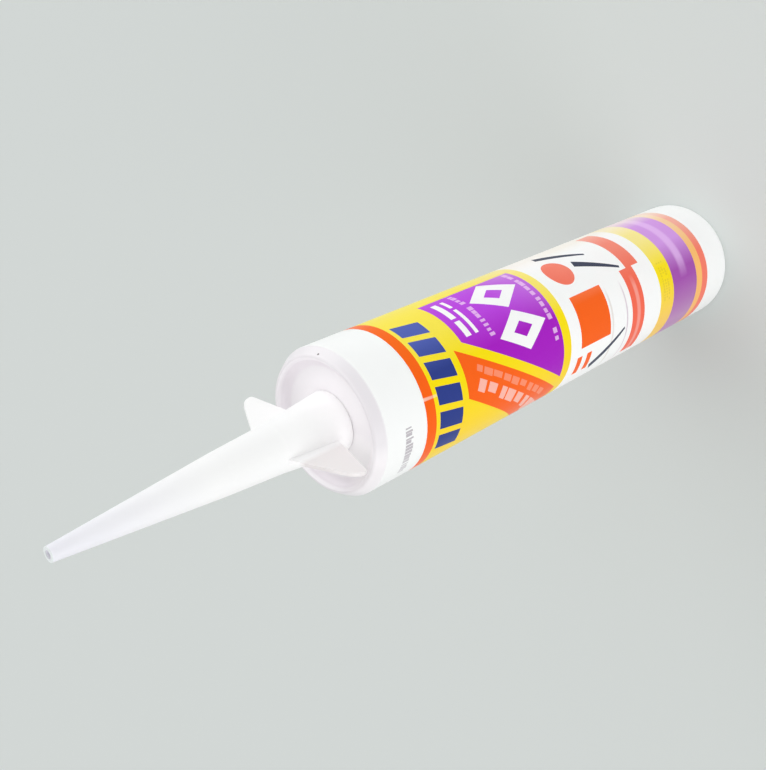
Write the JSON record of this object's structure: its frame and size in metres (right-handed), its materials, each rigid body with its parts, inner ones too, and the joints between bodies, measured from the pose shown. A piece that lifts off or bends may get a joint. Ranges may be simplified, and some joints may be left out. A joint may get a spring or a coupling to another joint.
{
  "type": "sealant cartridge",
  "caption": "Upright white sealant cartridge with a colourful printed label, a long tapered nozzle with finger wings, and a piston that a gun pushes to press the sealant out.",
  "frame": {"origin": "centre of the open rear rim, on the surface that the cartridge stands on", "axes": "+Z along the barrel's axis, up from the rear rim to the nozzle's tip; the middle of the label faces -Y"},
  "size_m": [0.05, 0.05, 0.305],
  "materials": {
    "barrel_plastic": "satin white polyethylene",
    "nozzle_plastic": "slightly translucent white polyethylene",
    "piston_plastic": "natural polyethylene",
    "sealant_paste": "clear paste",
    "orange_ink": "gloss print",
    "yellow_ink": "gloss print",
    "navy_ink": "gloss print",
    "purple_ink": "gloss print",
    "white_ink": "gloss print",
    "peach_ink": "gloss print",
    "coral_ink": "gloss print",
    "grey_ink": "gloss print"
  },
  "bodies": {
    "cartridge": {"barrel": "barrel_plastic", "sealant": "sealant_paste", "label_orange": "orange_ink", "label_yellow": "yellow_ink", "label_navy": "navy_ink", "label_purple": "purple_ink", "label_white": "white_ink", "label_peach": "peach_ink", "label_coral": "coral_ink", "label_grey": "grey_ink"},
    "piston": {"piston": "piston_plastic"},
    "nozzle": {"nozzle": "nozzle_plastic"}
  },
  "joints": [
    {"name": "piston_slide", "type": "slide", "parent": "cartridge", "child": "piston", "axis": [0, 0, 1], "range_m": [0, 0.1747], "deforming": ["sealant"]},
    {"name": "nozzle_unscrew", "type": "slide", "parent": "cartridge", "child": "nozzle", "axis": [0, 0, 1], "range_m": [0, 0.02]}
  ]
}
